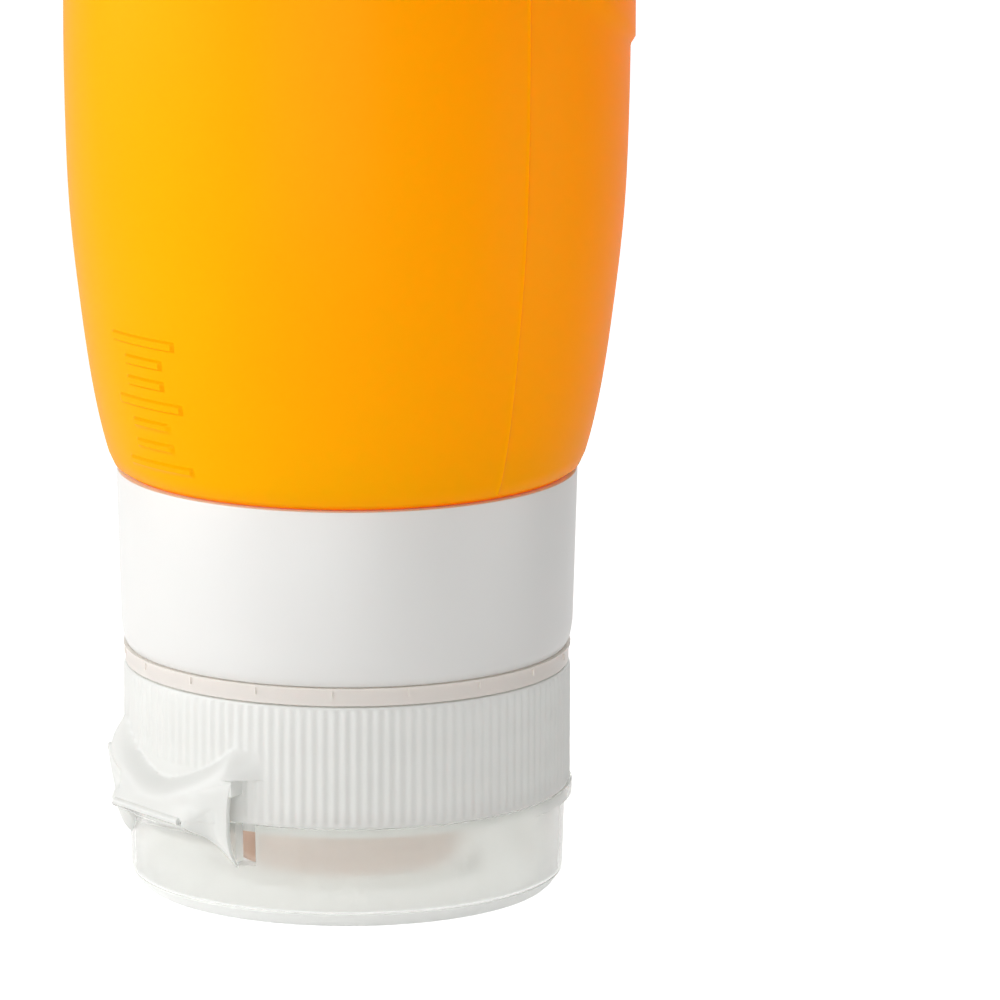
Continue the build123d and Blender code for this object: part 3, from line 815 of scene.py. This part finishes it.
def band_point(side, along, up, inner):
    """Point of a band: along from tip to ear, up from its lower edge to the visor's rim."""
    angle = BAND_TIP + (HINGE_HALF_ANGLE - BAND_TIP) * along
    low, high = band_line(angle) + 0.03, rim_level(angle) - 0.05
    level = low + (high - low) * up
    end = BAND_END + BAND_BOW * ((level - BAND_MIDDLE) / (EAR_TOP - BAND_MIDDLE))**2
    turned = side * (BAND_TIP + (end - BAND_TIP) * along)
    radius = visor_face(angle, max(level, DECK_BOTTOM)) + BAND_PROUD
    if level < DECK_BOTTOM:
        foot_radius = lid_wall(angle * 0.98, low) + 0.2
        share = (DECK_BOTTOM - level) / (DECK_BOTTOM - low)
        radius = foot_radius + (radius - foot_radius) * (1 - share**2)**0.75
    first, last = WEB_ANGLES
    top = DECK_BOTTOM + WEB_RISE * (angle - first) / (last - first)
    inside = min(level - low - 0.25, top - level, (last - angle) * SKIRT_RADIUS)
    radius -= WEB_DEPTH * ramp(inside, 0.2)
    if inner:
        radius = max(radius - BAND_THICKNESS, LID_RADIUS + 0.05)
    elif min(along, 1 - along, up, 1 - up) == 0:
        radius -= BAND_ROUND
    return (radius * math.sin(turned) * MM, -radius * math.cos(turned) * MM, level * MM)


band_shares = np.concatenate([[0, 0.015], np.linspace(0.04, 0.96, BAND_STEPS - 3), [0.985, 1]])
band_points, band_faces = [], []
for side in (-1, 1):
    base = len(band_points)
    size = BAND_STEPS + 1
    for inner in (False, True):
        for along in band_shares:
            for up in band_shares:
                band_points.append(band_point(side, along, up, inner))
    rim = [i * size for i in range(size)]
    rim += [BAND_STEPS * size + j for j in range(1, size)]
    rim += [i * size + BAND_STEPS for i in range(BAND_STEPS - 1, -1, -1)]
    rim += list(range(BAND_STEPS - 1, 0, -1))
    for i in range(BAND_STEPS):
        for j in range(BAND_STEPS):
            corner = [i * size + j, (i + 1) * size + j, (i + 1) * size + j + 1, i * size + j + 1]
            band_faces.append([base + k for k in corner])
            band_faces.append([base + size * size + k for k in corner])
    for a, b in zip(rim, rim[1:] + rim[:1]):
        band_faces.append([base + a, base + b, base + size * size + b, base + size * size + a])
bands = finished("hinge_bands", band_points, band_faces)
dressed(bands, frosted, None, "frosted_plastic", "hinge_bands_lower")
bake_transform(bands)


# The collar is one opaque white moulding, a slightly flared ring that turns by hand on the
# sleeve. Its lower edge draws in, so the sleeve's flange shows its top as a bright line.
COLLAR_BORE = 17.02
COLLAR_FOOT = 18.12
COLLAR_TOP_RADIUS = 18.97
COLLAR_BOTTOM = 20.25
COLLAR_TOP = 34.92
collar_rows = [(COLLAR_BORE, COLLAR_BOTTOM + 0.1), (COLLAR_BORE + 0.1, COLLAR_BOTTOM)]
collar_rows += softened([
    (COLLAR_FOOT - 0.2, COLLAR_BOTTOM), (COLLAR_FOOT, COLLAR_BOTTOM, 0.1),
    (COLLAR_FOOT + 0.3, COLLAR_BOTTOM + 0.6, 0.3), (COLLAR_FOOT + 0.5, COLLAR_BOTTOM + 1.7, 0.6),
    (COLLAR_TOP_RADIUS, COLLAR_TOP, 0.25), (COLLAR_BORE + 0.3, COLLAR_TOP, 0.2),
    (COLLAR_BORE, COLLAR_TOP - 0.3, 0.2), (COLLAR_BORE, COLLAR_BOTTOM + 0.2),
])
collar_angles = np.linspace(0, 2 * math.pi, RING_COLUMNS, endpoint=False)
collar = turned_mesh("turning_collar", collar_rows, collar_angles)

# Polypropylene filled with white pigment, moulded with a satin skin: opaque and even.
white = moulded("white_polypropylene", ("#E2E2E0", "#DFDFDD"), patch=11, grain=0.3,
                depth=0.004, roughness=0.4)
dressed(collar, white, "label_collar", "white_plastic", "collar")


# The small pieces between cap and bottle keep their CAD shapes: the rigid sleeve pressed
# on the neck, the sealing washer, the hinge's film, and the slit valve with the ring that
# snaps it into the dome. Each gets its own finish here.

# Clear silicone sheet, punched out: milky at its cut edges, with a slightly tacky sheen.
clear = moulded("clear_silicone", ("#F4F4F0", "#EFEFEA"), patch=6, grain=0.3, depth=0.003,
                roughness=0.45, through="#F4F4F0", share=0.5)
# Orange silicone again, in the valve's thin soft wall: its colour is painted a paler orange
# than the body's skin, a painted glow for the light that shines through the thin wall.
valve_silicone = moulded("valve_silicone", ("#FF9A48", "#FF9240"), patch=5, grain=0.3,
                         depth=0.003, roughness=0.35, through="#FF9A50", share=0.35,
                         Specular_IOR_Level=0.15, IOR=1.41)
# Polypropylene in a rigid tube: nearly white, with a slight warm tint painted into its colour for
# the orange neck's light showing through it.
sleeve_plastic = moulded("sleeve_polypropylene_painted_warm", ("#FFFCF8", "#FDFAF5"), patch=9, grain=0.3,
                         depth=0.003, roughness=0.3, through="#FFF8EE", share=0.25,
                         Transmission_Weight=0.15, IOR=1.49, Specular_IOR_Level=0.4)
finish = {
    "neck_sleeve": sleeve_plastic, "sealing_washer": clear, "hinge_film": frosted,
    "no_drip_valve": valve_silicone, "valve_retainer": frosted,
}
for name, material in finish.items():
    cad = bpy.data.objects[name]
    cad.data.materials.clear()
    cad.data.materials.append(material)
